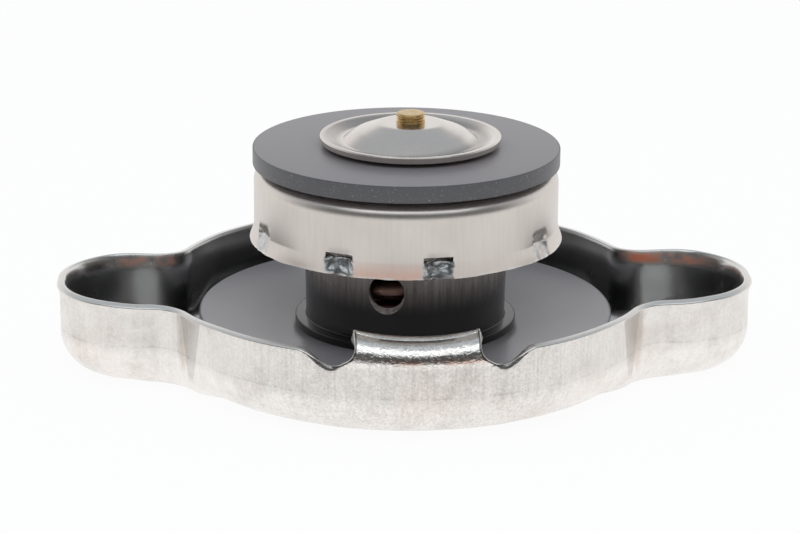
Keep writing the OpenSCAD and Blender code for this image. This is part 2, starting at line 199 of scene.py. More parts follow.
class HousingSizes(bpy.types.PropertyGroup):
    """Sizes of the spring housing."""

    radius: length("Radius", "Outer radius at the foot of the wall", 9.15 * MM)
    taper: length("Taper", "How much wider the wall is under the flange", 0.17 * MM)
    sheet: length("Sheet", "Thickness of the sheet", 0.6 * MM)
    foot: length("Foot flare", "Radius of the flare at the foot of the wall", 0.12 * MM)
    vent_radius: length("Vent radius", "Radius of a vent hole", 1.6 * MM)
    vent_height: length("Vent height", "Height of the vent holes", 9.3 * MM)
    vent_break: length("Vent edge", "How far a vent's lower edge is broken back", 0.37 * MM)
    vent_angle: slant("Vent angle", "Turn of the first vent from the front", -13.6)
    vents: IntProperty(name="Vents", description="Number of vent holes", default=3, min=1)


class CupSizes(bpy.types.PropertyGroup):
    """Sizes of the pressure valve's cup and seal."""

    radius: length("Radius", "Outer radius of the cup's wall", 13.9 * MM)
    sheet: length("Sheet", "Thickness of the cup", 0.55 * MM)
    flare: length("Flare", "How much wider the lower edge is at the front", 0.1 * MM)
    side_flare: length("Side flare", "How much further the lower edge leans out at the sides", 0.3 * MM)
    roll: length("Roll", "Height of the widened lower band", 1.5 * MM)
    seat_radius: length("Seat radius", "Radius of the raised seat", 11.6 * MM)
    seat_drop: length("Seat drop", "Drop from the seat to the shoulder", 0.45 * MM)
    shoulder: length("Shoulder", "Radius between the cup's face and wall", 1.05 * MM)
    hole: length("Hole", "Radius of the hole for the eyelet", 4.05 * MM)
    tongue_angle: slant("Tongue angle", "Angle that a crimped tongue takes up", 13)
    tongue_height: length("Tongue height", "Height of a crimped tongue", 1.6 * MM)
    tongue_push: length("Tongue push", "How far a tongue's tip is struck inwards", 0.5 * MM)
    slot_height: length("Slot height", "Height of the slot above a tongue", 0.42 * MM)
    seal_edge: length("Seal edge", "Rounding of the seal's edges", 0.07 * MM)


class SpringSizes(bpy.types.PropertyGroup):
    """Sizes of the two coil springs."""

    wire: length("Wire", "Wire diameter of the pressure spring", 1.7 * MM)
    radius: length("Radius", "Mean radius of the pressure spring", 7.3 * MM)
    turns: scalar("Turns", "Turns of the pressure spring", 4.5)
    start: slant("Start", "Turn of the pressure spring's lower end from +X", 165.8)
    small_wire: length("Small wire", "Wire diameter of the vacuum spring", 0.45 * MM)
    small_radius: length("Small radius", "Mean radius of the vacuum spring", 2.3 * MM)
    small_turns: scalar("Small turns", "Turns of the vacuum spring", 6.0)


class VacuumSizes(bpy.types.PropertyGroup):
    """Sizes of the vacuum plate and stem."""

    plate_radius: length("Plate radius", "Radius of the vacuum plate", (plate_high.x - plate_low.x) / 2)
    shift: length("Shift", "How far the loose stem is off the axis", (plate_high.x + plate_low.x) / 2)
    sheet: length("Sheet", "Thickness of the plate", 0.55 * MM)
    dome_radius: length("Dome radius", "Radius of the dome's foot", 6.15 * MM)
    dome_flat: length("Dome flat", "Radius of the dome's flat top", 2.9 * MM)
    dome_bulge: length("Dome bulge", "Radius of the dome half way up", 5.05 * MM)
    stem_radius: length("Stem radius", "Radius of the stem", 1.3 * MM)


class Finishes(bpy.types.PropertyGroup):
    """Colours of the finishes."""

    plate_bright: tint("Bright plate", "Shell where its plating is clean", "#efebe7")
    plate_dull: tint("Dull plate", "Shell where its plating is rubbed", "#e2dcd6")
    plate_copper: tint("Copper flash", "Copper that shows where the plating is thin", "#e0b8a8")
    # Inside the shell; the inner finish darkens it further over the round body as painted shade.
    inner_plate: tint("Inner plate", "Oily plating inside the shell", "#d9d8d6")
    # Orange patches high on the ears' rear inner walls.
    inner_orange: tint("Inner copper", "Bare copper flash inside the ears", "#ffb294")
    cut_edge: tint("Cut edge", "Sheared edge of the sheet", "#dedbd7")
    black_paint: tint("Black paint", "Baked black paint", "#2e2d2d")
    worn_paint: tint("Worn paint", "Paint worn through towards the top", "#d9cec8")
    gasket: tint("Gasket rubber", "Top gasket", "#827e81")
    seal: tint("Seal rubber", "Pressure seal", "#7f7a7c")
    struck: tint("Struck zinc", "Plating torn by the crimping tool", "#b9bec0")
    # Painted shade: the cut side gets a darker copy of the seal rubber's colour.
    shaded_seal_side: tint("Seal side", "Punched side of the pressure seal", "#4e4d4f")
    filler: tint("Filler", "Pale specks in the seal's punched side", "#d8d6d4")
    satin: tint("Satin plate", "Valve cup and vacuum plate", "#d8d1cb")
    brass: tint("Brass", "Stem", "#c4a673")
    wire: tint("Coppered wire", "Pressure spring", "#b08f82")
    zinc: tint("Zinc plate", "Rivet, eyelet and clip", "#c9cccd")
    steel: tint("Spring steel", "Spring disc and vacuum spring", "#8e9196")


class StageSettings(bpy.types.PropertyGroup):
    """Floor, light and camera."""

    floor: tint("Floor", "Colour of the floor", "#ffffff")
    key_power: scalar("Key power", "Power of the softbox", 0.62, "POWER")
    key_rise: slant("Key rise", "How steeply the softbox's light falls", 63)
    focal_length: scalar("Focal length", "Focal length in picture widths", 3.75)
    camera_place: spot("Camera place", "Where the camera stands", -13.86, -263.5, 91.0)
    camera_target: spot("Camera target", "What the camera looks at", -0.51, 0.03, 8.93)
    camera_roll: slant("Camera roll", "Tilt of the camera", 0.41)


def clear_selection():
    """Deselects every object."""
    bpy.ops.object.select_all(action="DESELECT")


def pick(piece):
    """Makes one object the selected and active one."""
    clear_selection()
    piece.select_set(True)
    bpy.context.view_layer.objects.active = piece


def apply(piece, kind, **settings):
    """Adds a modifier with its settings and applies it."""
    pick(piece)
    modifier = piece.modifiers.new(kind.title(), kind)
    for key, value in settings.items():
        setattr(modifier, key, value)
    bpy.ops.object.modifier_apply(modifier=modifier.name)


def settle(piece, node, slot, *finishes):
    """Gives a piece its finishes and smooth shading, and puts it on its node's body in place of the node."""
    for finish in finishes:
        piece.data.materials.append(finish)
    pick(piece)
    bpy.ops.object.shade_smooth_by_angle(angle=SMOOTH_BELOW)
    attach(piece, frame["nodes"][node]["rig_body"])
    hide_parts(node)


def open_mesh(piece, kind=None):
    """Edit mode with all of a piece selected, or with nothing selected and one kind of element to pick."""
    pick(piece)
    bpy.ops.object.mode_set(mode="EDIT")
    if kind:
        bpy.ops.mesh.select_mode(type=kind)
    bpy.ops.mesh.select_all(action="DESELECT" if kind else "SELECT")


def close_mesh():
    """Back to object mode."""
    bpy.ops.object.mode_set(mode="OBJECT")


def select_parts(piece, kind, wanted):
    """Selects the edges or faces that pass a test, in edit mode."""
    open_mesh(piece, kind)
    mesh = bmesh.from_edit_mesh(piece.data)
    for part in mesh.edges if kind == "EDGE" else mesh.faces:
        part.select_set(wanted(part))
    if kind == "FACE":
        mesh.select_flush_mode()
    bmesh.update_edit_mesh(piece.data)


def clean(piece):
    """Merges points that lie on each other, drops faces without area and turns the normals outwards."""
    open_mesh(piece)
    bpy.ops.mesh.remove_doubles(threshold=MERGE)
    bpy.ops.mesh.dissolve_degenerate(threshold=MERGE)
    bpy.ops.mesh.normals_make_consistent(inside=False)
    close_mesh()


def rag(x, y, z):
    """Smooth noise between -1 and 1."""
    return noise.noise(Vector((x, y, z)))


def ease(t):
    """Smooth step from 0 to 1."""
    t = min(max(t, 0.0), 1.0)
    return t * t * (3 - 2 * t)


def rounded(corners, steps=5):
    """Section points from corners (radius, height[, rounding]), with the rounded ones turned to arcs."""
    points = []
    count = len(corners)
    for i, corner in enumerate(corners):
        here = Vector(corner[:2])
        if len(corner) < 3:
            points.append(here)
            continue
        before = (Vector(corners[i - 1][:2]) - here).normalized()
        after = (Vector(corners[(i + 1) % count][:2]) - here).normalized()
        half = before.angle(after) / 2
        centre = here + (before + after).normalized() * corner[2] / math.sin(half)
        reach = corner[2] / math.tan(half)
        first = here + before * reach - centre
        last = here + after * reach - centre
        start = math.atan2(first.y, first.x)
        sweep = (math.atan2(last.y, last.x) - start + math.pi) % TAU - math.pi
        for k in range(steps + 1):
            angle = start + sweep * k / steps
            points.append(centre + Vector((math.cos(angle), math.sin(angle))) * corner[2])
    return points


def spin(piece, steps):
    """Spins all of a piece's edges once round the axis and closes the seam."""
    open_mesh(piece)
    bpy.ops.mesh.spin(steps=steps, angle=TAU, center=(0, 0, 0), axis=(0, 0, 1))
    bpy.ops.mesh.select_all(action="SELECT")
    bpy.ops.mesh.remove_doubles(threshold=MERGE)
    bpy.ops.mesh.normals_make_consistent(inside=False)
    close_mesh()


def ring_of_points(name, points):
    """Circle primitive whose corners are set on the given points of the XZ plane."""
    clear_selection()
    bpy.ops.mesh.primitive_circle_add(vertices=len(points), radius=MM, fill_type="NOTHING")
    piece = bpy.context.object
    piece.name = name
    piece.data.vertices.foreach_set("co", [c for p in points for c in (p.x, 0.0, p.y)])
    return piece


def turned(name, corners, steps=RING_STEPS):
    """Piece turned from a closed section."""
    piece = ring_of_points(name, rounded(corners))
    spin(piece, steps)
    return piece


def arc(cx, cy, radius, start, end, steps, side):
    """Arc points as (x, y, outward x, outward y); side is 1 for a convex arc and -1 for a hollow one."""
    found = []
    for i in range(steps + 1):
        angle = start + (end - start) * i / steps
        along = (math.cos(angle), math.sin(angle))
        found.append((cx + radius * along[0], cy + radius * along[1], side * along[0], side * along[1]))
    return found


def spread(a, b, steps):
    """Even values from a to b, without a."""
    return [a + (b - a) * i / steps for i in range(1, steps + 1)]


class ShellPlan:
    """The shell's outline and heights, from its sizes."""

    def __init__(self, sizes):
        self.s = sizes
        half = sizes.ear_width / 2
        self.ear_x = sizes.ear_reach - sizes.ear_corner
        self.ear_y = half - sizes.ear_corner
        self.neck_y = half + sizes.neck_fillet
        self.neck_x = math.sqrt((sizes.body_radius + sizes.neck_fillet) ** 2 - self.neck_y**2)
        self.neck_angle = math.atan2(self.neck_y, self.neck_x)
        self.tab_half = sizes.tab_width / 2
        self.foot_half = self.half_at(sizes.tab_foot)
        self.body_end = sizes.body_radius * math.cos(self.neck_angle)

    def dip(self, x):
        """1 where an ear meets the body, fading to 0 on both sides."""
        x = abs(x) - self.body_end
        body_fade = ease((x + 3.5 * MM) / (4 * MM))
        ear_fade = 1 - ease((x - 2.5 * MM) / (5 * MM))
        return body_fade * ear_fade

    def ear_share(self, x):
        """0 on the body, rising to 1 on an ear."""
        return ease((abs(x) - self.body_end) / (3 * MM))

    def half_at(self, height):
        """Half width of a tab at a height, where the notch's curve runs up its side."""
        s = self.s
        share = 1 - min((height - s.notch_height) / (s.tab_side - s.notch_height), 1)
        return s.notch_mid - (s.notch_mid - self.tab_half) * math.sqrt(1 - share * share)

    def quarter(self):
        """Outline points from the ear's tip to the middle of a tab."""
        s = self.s
        quarter_turn = math.pi / 2
        found = [(s.ear_reach, self.ear_y * t, 1.0, 0.0) for t in (0, 0.5)]
        found += arc(self.ear_x, self.ear_y, s.ear_corner, 0, quarter_turn, 24, 1)
        side_y = self.ear_y + s.ear_corner
        found += [(x, side_y, 0.0, 1.0) for x in spread(self.ear_x, self.neck_x, 3)[:-1]]
        neck_end = math.pi + self.neck_angle
        found += arc(self.neck_x, self.neck_y, s.neck_fillet, 3 * quarter_turn, neck_end, 18, -1)
        shoulder = math.acos(s.notch_out / s.body_radius)
        xs = [s.body_radius * math.cos(a) for a in spread(self.neck_angle, shoulder, 26)]
        xs += spread(s.notch_out, s.notch_mid, 16)
        inside = self.foot_half - 0.5 * MM
        xs += spread(s.notch_mid, self.foot_half, 10) + [inside] + spread(inside, 0, 18)
        for x in xs:
            angle = math.acos(x / s.body_radius)
            found.append((x, s.body_radius * math.sin(angle), math.cos(angle), math.sin(angle)))
        return found

    def loop(self):
        """The whole outline, counter-clockwise from the right ear's tip."""
        q = self.quarter()
        back = q[-2::-1]
        found = list(q)
        found += [(-x, y, -nx, ny) for x, y, nx, ny in back]
        found += [(-x, -y, -nx, -ny) for x, y, nx, ny in q[1:]]
        found += [(x, -y, nx, -ny) for x, y, nx, ny in back[:-1]]
        return found

    def on_body(self, x, y):
        """True on the round body's own outline."""
        return math.hypot(x, y) < self.s.body_radius + 0.01 * MM

    def corner(self, x, y):
        """Crown corner radius, tighter in the hollow between ear and body."""
        s = self.s
        slope = math.radians(225)
        deep_x = self.neck_x + s.neck_fillet * math.cos(slope)
        deep_y = self.neck_y + s.neck_fillet * math.sin(slope)
        away = math.hypot(abs(x) - deep_x, abs(y) - deep_y) - 0.6 * MM
        open_part = ease(away / (4.5 * MM))
        plain = s.crown_corner + (s.ear_crown - s.crown_corner) * self.ear_share(x)
        return s.neck_corner * (1 - open_part) + plain * open_part

    def rim(self, x, y):
        """Height of the cut edge, or of the tab's foot."""
        s = self.s
        x = abs(x)
        if not self.on_body(x, y) or x > s.notch_out:
            return s.rim_height - s.neck_dip * self.dip(x)
        if x > s.notch_mid:
            share = (x - s.notch_mid) / (s.notch_out - s.notch_mid)
            return s.notch_height + (s.rim_height - s.notch_height) * ease(share)
        if x > self.foot_half:
            share = (s.notch_mid - x) / (s.notch_mid - self.tab_half)
            return s.notch_height + (s.tab_side - s.notch_height) * (1 - math.sqrt(1 - share * share))
        return s.tab_foot

    def curl(self, x, y):
        """1 at a notch bottom, where drawing the tab pulled the edge inwards, fading to 0 beside it."""
        s = self.s
        x = abs(x)
        if not self.on_body(x, y):
            return 0.0
        shoulder = ease((s.notch_out - x) / (s.notch_out - s.notch_mid))
        tab_side = ease((x - self.foot_half) / (s.notch_mid - self.foot_half))
        return shoulder * tab_side

    def rows(self):
        """Rows of points from the rivet hole over the crown and up the wall."""
        s = self.s
        loop = self.loop()
        slope = s.recess_depth / math.tan(math.radians(40))
        soft = 0.3 * MM
        sag = 0.08 * MM
        foot = s.recess_radius + slope
        crown = [(s.rivet_hole, s.recess_depth), (s.rivet_hole + s.sheet, s.recess_depth),
                 (s.recess_radius - soft, s.recess_depth), (s.recess_radius, s.recess_depth - sag),
                 (foot, sag), (foot + soft, 0.0), (foot + 2 * MM, 0.0)]
        corner_rows = 10
        wall_rows = 13
        edge_rows = (0.2, 0.4, 1.0)
        found = [[] for _ in range(len(crown) + corner_rows + wall_rows + len(edge_rows))]
        for x, y, nx, ny in loop:
            c = self.corner(x, y)
            flare = s.body_flare * ease((abs(x) - s.notch_mid) / (s.notch_out - s.notch_mid))
            flare += (s.lip_flare - s.body_flare) * self.ear_share(x)
            column = []
            centre = Vector((x - nx * c, y - ny * c, 0))
            for radius, height in crown:
                point = centre.normalized() * radius
                point.z = height
                column.append(point)
            for k in range(corner_rows):
                a = math.pi / 2 * k / (corner_rows - 1)
                inset = c - c * math.sin(a) + flare
                column.append(Vector((x - nx * inset, y - ny * inset, c - c * math.cos(a))))
            top = self.rim(x, y)
            curl = s.notch_curl * self.curl(x, y)
            edge = top - s.curl_height
            for height in spread(c, edge, wall_rows) + [edge + s.curl_height * u for u in edge_rows]:
                lean = flare * (1 - max(0, (height - top) / s.lip_height + 1) ** 2)
                lean += curl * max(0, (height - edge) / s.curl_height) ** 2
                column.append(Vector((x - nx * lean, y - ny * lean, height)))
            for row, point in zip(found, column):
                row.append(point)
        return found


def sleeve(name, rows):
    """Grid primitive wrapped on rows of points and joined end to end."""
    columns = len(rows[0])
    clear_selection()
    bpy.ops.mesh.primitive_grid_add(x_subdivisions=columns, y_subdivisions=len(rows) - 1, size=MM)
    piece = bpy.context.object
    piece.name = name
    places = [c for row in rows for point in row + row[:1] for c in point]
    piece.data.vertices.foreach_set("co", places)
    open_mesh(piece)
    bpy.ops.mesh.remove_doubles(threshold=MERGE)
    close_mesh()
    return piece


def fold_tabs(piece, plan):
    """Extrudes the tabs from the rim and folds them over the bend."""
    s = plan.s
    near = 0.01 * MM
    bend_rows = 12
    corner_slide = 0.5

    def at_foot(edge):
        """True for the rim's edges at the foot of a tab."""
        return edge.is_boundary and all(
            abs(v.co.x) < plan.foot_half + near and abs(v.co.z - s.tab_foot) < near
            and abs(v.co.y) > s.body_radius / 2 for v in edge.verts)

    select_parts(piece, "EDGE", at_foot)
    folds = [s.tab_fold * k / bend_rows for k in range(1, bend_rows + 1)]
    end_inset = s.tab_bend * (1 - math.cos(s.tab_fold))
    end_height = s.tab_bend * math.sin(s.tab_fold)
    profile = [(s.tab_bend * (1 - math.cos(a)), s.tab_bend * math.sin(a), math.sin(a), 1.0) for a in folds]
    reach = s.body_radius - s.tab_inner - end_inset
    climb = reach / math.tan(s.tab_fold)
    # Shares along the flat with the depth there: the bending tool left one shallow groove.
    dents = {0.36: 0.0, 0.42: 0.07 * MM, 0.48: 0.0, 0.74: 0.0, 1.0: 0.0}
    profile += [(end_inset + reach * t, end_height + climb * t - dent, 1.0, t) for t, dent in dents.items()]
    half = plan.foot_half
    for inset, height, share, along in profile:
        bpy.ops.mesh.extrude_region_move()
        narrow = plan.half_at(s.tab_foot + height) / half
        half *= narrow
        mesh = bmesh.from_edit_mesh(piece.data)
        for v in mesh.verts:
            if v.select:
                x = v.co.x * narrow
                bow = s.tab_bow * (x / half) ** 2
                slid = (1 - along) * corner_slide * (x / half) ** 4
                radius = s.body_radius - inset - reach * slid
                y = math.copysign(math.sqrt(radius * radius - x * x), v.co.y)
                v.co = (x, y, s.tab_foot + height + climb * slid + bow * share)
        bmesh.update_edit_mesh(piece.data)
    close_mesh()


def mark_sheared(piece, plan):
    """Marks the cut edges of the notches and tab sides in a point attribute, fading along the shoulders."""
    s = plan.s
    marks = piece.data.attributes.new("sheared", "FLOAT", "POINT")
    mesh = bmesh.new()
    mesh.from_mesh(piece.data)
    inner = s.tab_inner + 0.4 * MM
    for v in mesh.verts:
        if v.is_boundary and math.hypot(v.co.x, v.co.y) > inner and plan.on_body(v.co.x, v.co.y):
            marks.data[v.index].value = ease((s.notch_out - abs(v.co.x)) / (s.notch_out - s.notch_mid))
    mesh.free()


def wander(piece, depth, wave, wanted):
    """Moves a sheet's points inwards by a slow noise, as pressing leaves a wall."""
    normals = [v.normal.copy() for v in piece.data.vertices]
    for v, normal in zip(piece.data.vertices, normals):
        share = wanted(v.co)
        if share:
            v.co -= normal * depth * share * (0.5 + 0.5 * noise.noise(v.co / wave))
    piece.data.update()


def coil(name, low, high, radius, wire, turns, start, steps, sides):
    """Round wire wound with closed ends between two heights."""
    points = [Vector((radius + wire / 2 * math.cos(a), wire / 2 * math.sin(a)))
              for a in (TAU * k / sides for k in range(sides))]
    piece = ring_of_points(name, points)
    rings = round(turns * steps)
    apply(piece, "SCREW", axis="Z", angle=TAU * turns, screw_offset=high - low, steps=rings,
          render_steps=rings, use_normal_calculate=True, use_merge_vertices=False)
    hair_gap = 1.03
    close = wire * hair_gap
    pitch = (high - low - wire - 2 * close) / (turns - 2)
    for i, v in enumerate(piece.data.vertices):
        u = turns * (i // sides) / rings
        lift = close * min(u, 1) + pitch * min(max(u - 1, 0), turns - 2) + close * max(u - turns + 1, 0)
        angle = TAU * u + start
        out = points[i % sides].x
        v.co = (out * math.cos(angle), out * math.sin(angle), low + wire / 2 + lift + points[i % sides].y)
    open_mesh(piece, "EDGE")
    bpy.ops.mesh.select_non_manifold()
    bpy.ops.mesh.edge_face_add()
    bpy.ops.mesh.select_all(action="SELECT")
    bpy.ops.mesh.normals_make_consistent(inside=False)
    close_mesh()
    return piece


class Nodes:
    """Node tree of a material or world; most methods add one node and give back its output."""

    def __init__(self, owner):
        owner.use_nodes = True
        self.owner = owner
        self.tree = owner.node_tree
        self.tree.nodes.clear()
        self.place = None

    def add(self, kind, inputs=None, **settings):
        """Adds a node and gives back its outputs; an input is a value or an output to link."""
        made = self.tree.nodes.new(kind)
        for key, value in settings.items():
            setattr(made, key, value)
        for key, value in (inputs or {}).items():
            if isinstance(value, bpy.types.NodeSocket):
                self.tree.links.new(value, made.inputs[key])
            else:
                made.inputs[key].default_value = value
        return made.outputs

    def axes(self):
        """The place's x, y and z."""
        return self.add("ShaderNodeSeparateXYZ", {"Vector": self.place}).values()

    def radius(self):
        """Distance from the axis."""
        x, y, _ = self.axes()
        flat = self.add("ShaderNodeCombineXYZ", {"X": x, "Y": y})[0]
        return self.add("ShaderNodeVectorMath", {0: flat}, operation="LENGTH")["Value"]

    def upright(self, share):
        """The place with its height squeezed, which draws a pattern out into upright lines."""
        return self.add("ShaderNodeMapping", {"Vector": self.place, "Scale": (1.0, 1.0, share)})[0]

    def noise(self, size, detail, place=None, **more):
        """Noise with patches of about a size in millimetres."""
        place = self.place if place is None else place
        inputs = {"Vector": place, "Scale": 1 / (size * MM), "Detail": detail, **more}
        return self.add("ShaderNodeTexNoise", inputs)[0]

    def mark(self, name):
        """A piece's own point attribute."""
        return self.add("ShaderNodeAttribute", attribute_name=name)["Fac"]

    def calc(self, operation, *values):
        """One step of arithmetic."""
        return self.add("ShaderNodeMath", dict(enumerate(values)), operation=operation)[0]

    def total(self, first, *others):
        """Sum of several values."""
        for value in others:
            first = self.calc("ADD", first, value)
        return first

    def product(self, first, *others):
        """Product of several values."""
        for value in others:
            first = self.calc("MULTIPLY", first, value)
        return first

    def away(self, value, middle):
        """How far a value is from a middle one."""
        return self.calc("ABSOLUTE", self.calc("SUBTRACT", value, middle))

    def ramp(self, value, start, end, low=0.0, high=1.0, kind="LINEAR"):
        """Goes from low to high while a value goes from start to end."""
        inputs = {"Value": value, "From Min": start, "From Max": end, "To Min": low, "To Max": high}
        return self.add("ShaderNodeMapRange", inputs, interpolation_type=kind)[0]

    def mix(self, share, first, second):
        """Colour between two colours."""
        return self.add("ShaderNodeMix", {0: share, 6: first, 7: second}, data_type="RGBA")[2]

    def level(self, share, first, second):
        """Value between two values."""
        return self.add("ShaderNodeMix", {0: share, 2: first, 3: second}, data_type="FLOAT")[0]

    def shade(self, colour, share):
        """Colour made darker or lighter by a share."""
        return self.add("ShaderNodeVectorMath", {0: colour, "Scale": share}, operation="SCALE")[0]

    def bump(self, height, strength, distance, **more):
        """Normal that follows a height, for grain too fine to model."""
        inputs = {"Height": height, "Strength": strength, "Distance": distance, **more}
        return self.add("ShaderNodeBump", inputs)[0]

    def surface(self, colour, roughness, **more):
        """Adds the surface shader and the output, and gives back the material."""
        shader = self.add("ShaderNodeBsdfPrincipled", {"Base Color": colour, "Roughness": roughness, **more})
        self.add("ShaderNodeOutputMaterial", {"Surface": shader["BSDF"]})
        return self.owner


def start_finish(name):
    """Nodes of a new material, placed by object coordinates."""
    n = Nodes(bpy.data.materials.new(name))
    n.place = n.add("ShaderNodeTexCoord")["Object"]
    return n


def bright_plate(colours):
    """Bright tin plate on pressed steel: pale and warm, mottled by fine orange peel and upright draw lines.

    The folded tabs are polished by the die, with copper showing through in the bend. Painted shade makes the
    wall above the crown's corner a little darker than the corner, and paints a darker upright band in the
    hollow beside each ear.
    """
    n = start_finish("bright_tin_plate")
    x, _, z = n.axes()
    side = n.calc("ABSOLUTE", x)
    patches = n.noise(3, 8.0, Roughness=0.75)
    lines = n.noise(0.3, 3.0, n.upright(0.05))
    peel = n.noise(0.24, 2.0, Roughness=0.6, Distortion=0.8)
    rubbed = n.ramp(patches, 0.42, 0.68)
    middle = n.ramp(side, 9 * MM, 17 * MM, 1.1, 0.4)
    pits = n.product(n.ramp(peel, 0.38, 0.62, 0.15, 0.0), middle)
    drags = n.product(n.ramp(lines, 0.32, 0.55, 0.1, 0.0), middle)
    # A thin darker line round the wall at 4.1 mm height, shown only in the rubbed patches.
    dark_ring_line = n.ramp(n.away(z, 4.1 * MM), 0.04 * MM, 0.14 * MM, 0.16, 0.0)
    broken_dark_ring_line = n.product(dark_ring_line, rubbed)
    # Painted shade: the wall above the crown's corner is darkened, because the corner mirrors more of the
    # bright floor.
    wall = n.ramp(z, 3.2 * MM, 4.2 * MM, 0.02, 0.16)
    smudge = n.ramp(n.noise(6, 6.0, Roughness=0.7), 0.55, 0.72, 0.0, 0.09)
    # Painted shade: a darker upright band in the hollow beside each ear, about 19.6 mm out, narrowing
    # downwards and fading out near the crown.
    half_band = n.ramp(z, 2 * MM, 7.5 * MM, 0.25 * MM, 0.9 * MM)
    in_band = n.calc("SUBTRACT", half_band, n.away(side, 19.62 * MM))
    risen = n.ramp(z, 1.4 * MM, 2.4 * MM)
    hollow = n.product(n.ramp(in_band, 0.0, 0.09 * MM, 0.0, 0.21), risen)
    plain = n.calc("SUBTRACT", 1.12, n.total(pits, drags, broken_dark_ring_line, wall, smudge, hollow))
    tab = n.product(n.ramp(z, 6.6 * MM, 7.1 * MM), n.ramp(side, 6.6 * MM, 6.2 * MM))
    keep = n.calc("MULTIPLY_ADD", tab, 0.14, plain)
    flash = n.ramp(n.noise(7, 3.0), 0.5, 0.7, 0.0, 0.1)
    bend = n.product(n.ramp(z, 7.1 * MM, 7.25 * MM), n.ramp(z, 7.85 * MM, 7.6 * MM))
    folded = n.product(tab, bend, n.ramp(patches, 0.44, 0.6, 0.0, 0.75))
    copper = n.calc("MAXIMUM", flash, folded)
    plate = n.mix(rubbed, colours.plate_bright, colours.plate_dull)
    shaded = n.shade(n.mix(copper, plate, colours.plate_copper), keep)
    sheared = n.mark("sheared")
    torn = n.shade(colours.cut_edge[:3], n.ramp(sheared, 0.45, 1.0, 0.16, 0.55))
    edged = n.mix(n.ramp(sheared, 0.38, 0.5, 0.0, 0.9), shaded, torn)
    gloss = n.ramp(patches, 0.3, 0.7, 0.13, 0.24)
    polish = n.calc("MULTIPLY_ADD", tab, -0.07, gloss)
    line_bump = n.bump(lines, 0.25, 0.012 * MM)
    ragged = n.calc("MULTIPLY_ADD", tab, 0.5, 0.5)
    peel_bump = n.bump(peel, ragged, 0.035 * MM, Normal=line_bump)
    return n.surface(edged, polish, Metallic=1.0, Normal=peel_bump)


def inner_plate(colours):
    """The same plating inside, left greasy by the press: darker and smoother. Painted shade darkens it
    further over the round body, away from the ears, and orange patches sit high on the ears' rear walls.
    """
    n = start_finish("inner_plate_with_painted_shade")
    x, y, z = n.axes()
    side = n.calc("ABSOLUTE", x)
    smear = n.noise(5, 3.0)
    # Orange patches high on the ears' rear inner walls near the rim, a few more on the +x ear.
    ear = n.product(n.ramp(side, 20.5 * MM, 22 * MM), n.ramp(side, 30 * MM, 27 * MM))
    rear = n.ramp(y, 2 * MM, 4 * MM)
    band = n.product(n.ramp(z, 6.6 * MM, 7.1 * MM), n.ramp(z, 7.95 * MM, 7.5 * MM))
    more = n.ramp(x, -24 * MM, 24 * MM, -0.06, 0.12)
    spots = n.ramp(n.total(n.noise(2.2, 3.0), more), 0.42, 0.64)
    copper = n.product(ear, band, rear, spots)
    # Painted shade: the inner plate is darkened to 0.6 over the round body, where |x| is under 17 mm, and
    # kept full on the ears.
    shaded_inner_plate = n.shade(colours.inner_plate[:3], n.ramp(side, 17 * MM, 21 * MM, 0.6, 1.0))
    base = n.mix(copper, shaded_inner_plate, colours.inner_orange)
    gloss = n.ramp(smear, 0.0, 1.0, 0.18, 0.32)
    rough = n.calc("MULTIPLY_ADD", copper, 0.55, gloss)
    return n.surface(base, rough, Metallic=1.0, Normal=n.bump(smear, 0.2, 0.3 * MM))


def cut_edge(colours):
    """Sheared steel edge: grey and slightly rough, with fine break lines across it."""
    n = start_finish("sheared_edge")
    breaks = n.noise(0.3, 4.0)
    gloss = n.ramp(breaks, 0.0, 1.0, 0.22, 0.42)
    return n.surface(colours.cut_edge, gloss, Metallic=1.0, Normal=n.bump(breaks, 0.4, 0.02 * MM))


def black_paint(colours):
    """Baked black paint: glossy black, made darker still low down by painted shade, worn to brown-grey
    upright streaks towards the top.
    """
    n = start_finish("baked_black_paint")
    z = n.axes()[2]
    streaks = n.noise(0.4, 5.0, n.upright(0.06), Roughness=0.65)
    high = n.ramp(z, 7 * MM, 12.5 * MM, kind="SMOOTHSTEP")
    lines = n.ramp(streaks, 0.2, 0.65, 0.25, 1.0)
    worn = n.product(high, lines)
    # Painted shade: below about 5.4 mm, on the retainer and the housing's foot beside the gasket, the paint
    # is darkened to 0.15.
    paint = n.shade(colours.black_paint[:3], n.ramp(z, 4.4 * MM, 5.4 * MM, 0.15, 1.0))
    base = n.mix(worn, paint, colours.worn_paint)
    gloss = n.calc("MULTIPLY_ADD", worn, 0.26, 0.2)
    return n.surface(base, gloss, IOR=1.5, Normal=n.bump(lines, high, 0.01 * MM))


def rubbed_paint(colours):
    """Paint rubbed through on the broken edge of a vent: dull grey with darker flecks."""
    n = start_finish("rubbed_paint_edge")
    return n.surface(n.mix(n.noise(0.4, 3.0), colours.worn_paint, colours.black_paint), 0.45)


def gasket_rubber(colours):
    """Pressed nitrile rubber: dark grey with a dusty even bloom and a fine grain."""
    n = start_finish("gasket_nitrile_rubber")
    bloom = n.ramp(n.noise(6, 4.0), 0.0, 1.0, 0.85, 1.15)
    grain = n.bump(n.noise(0.25, 2.0), 0.3, 0.02 * MM)
    return n.surface(n.shade(colours.gasket[:3], bloom), 0.3, IOR=1.7, Normal=grain)


def seal_rubber(colours):
    """Punched rubber disc: matt dark grey, its cut side painted darker as shade and dotted with pale filler
    specks.
    """
    n = start_finish("seal_filled_rubber")
    cut = n.ramp(n.radius(), 13.86 * MM, 13.92 * MM)
    grit = n.noise(0.14, 1.0)
    specks = n.product(cut, n.ramp(grit, 0.67, 0.76, 0.0, 0.32))
    # Painted shade: the cut side takes the darker side colour; the filler specks on it are real.
    body = n.mix(cut, colours.seal, colours.shaded_seal_side)
    base = n.mix(specks, body, colours.filler)
    return n.surface(base, 0.38, IOR=1.6, Normal=n.bump(grit, 0.25, 0.02 * MM))


